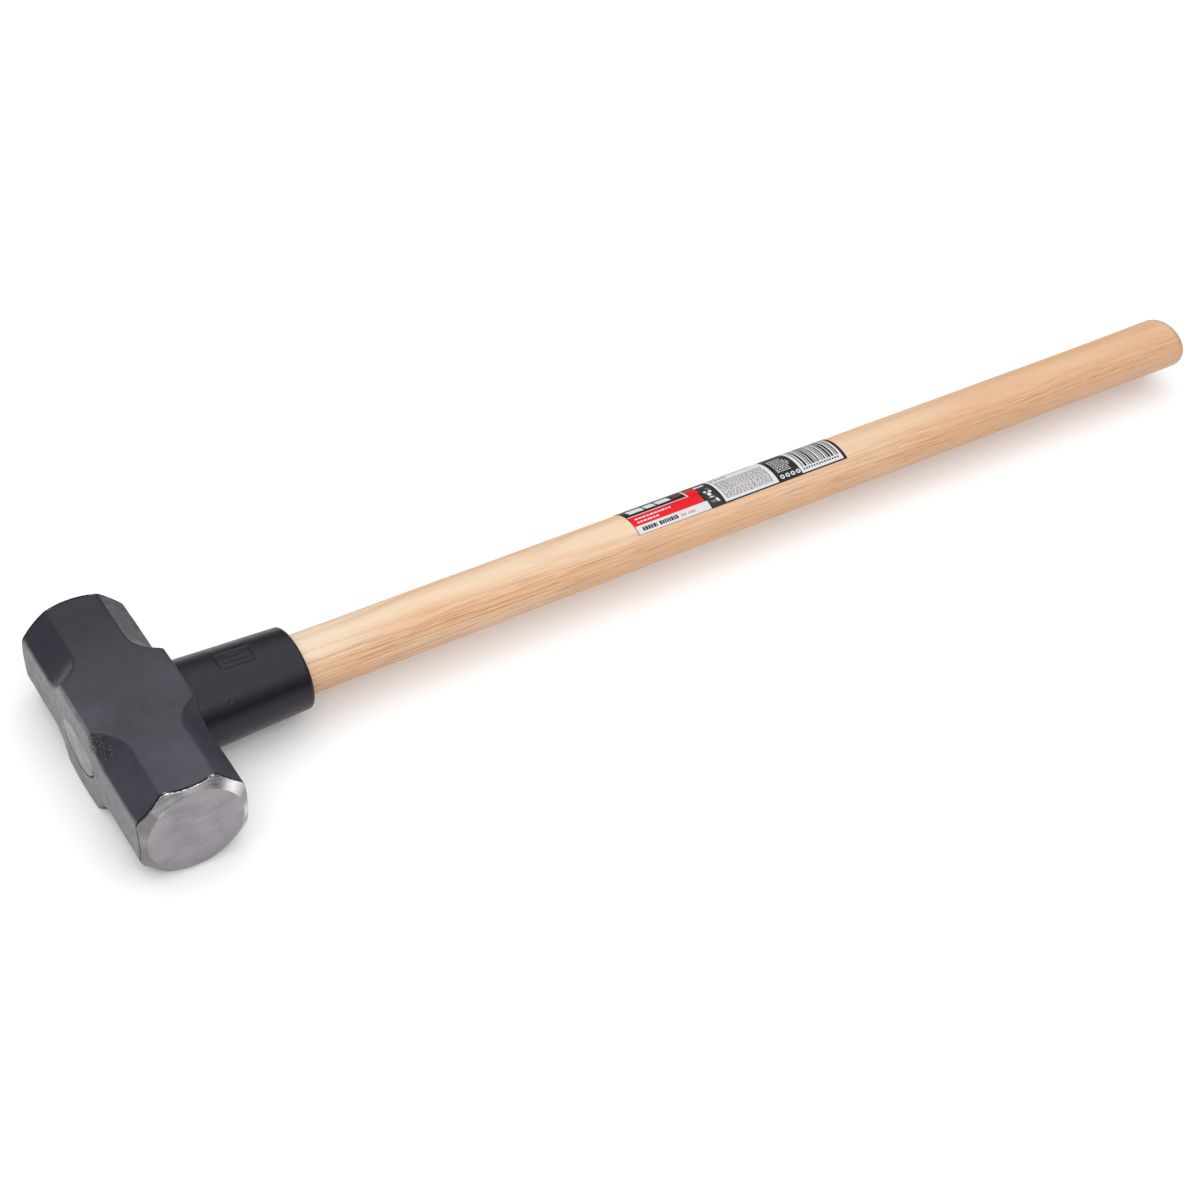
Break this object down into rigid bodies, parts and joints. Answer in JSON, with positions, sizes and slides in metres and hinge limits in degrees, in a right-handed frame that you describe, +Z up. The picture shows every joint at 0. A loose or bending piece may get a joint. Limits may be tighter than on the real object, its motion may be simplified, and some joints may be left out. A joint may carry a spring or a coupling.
{
  "type": "sledge hammer",
  "caption": "Double-faced sledge hammer: forged square head with corner facets and ground faces, wedged on a straight oval wooden handle with an overstrike sleeve.",
  "frame": {"origin": "centre of the lower cheek, which rests on the floor, straight below the centre of the eye", "axes": "+X along the handle from the head to the butt, +Y along the head from one striking face to the other, +Z up, out of the upper cheek"},
  "size_m": [0.9, 0.178, 0.0644],
  "materials": {
    "head": "charcoal grey satin paint over forged steel, with bare ground striking faces",
    "handle": "pale ash with a satin lacquer; the end in the eye is painted grey",
    "wood_wedge": "painted over with the head",
    "steel_wedge": "painted over with the head",
    "sleeve": "black moulded rubber, satin",
    "label": null
  },
  "bodies": {
    "root": {"head": "head", "handle": "handle", "wood_wedge": "wood_wedge", "steel_wedge_1": "steel_wedge", "steel_wedge_2": "steel_wedge", "sleeve": "sleeve", "label": "label"}
  },
  "joints": []
}
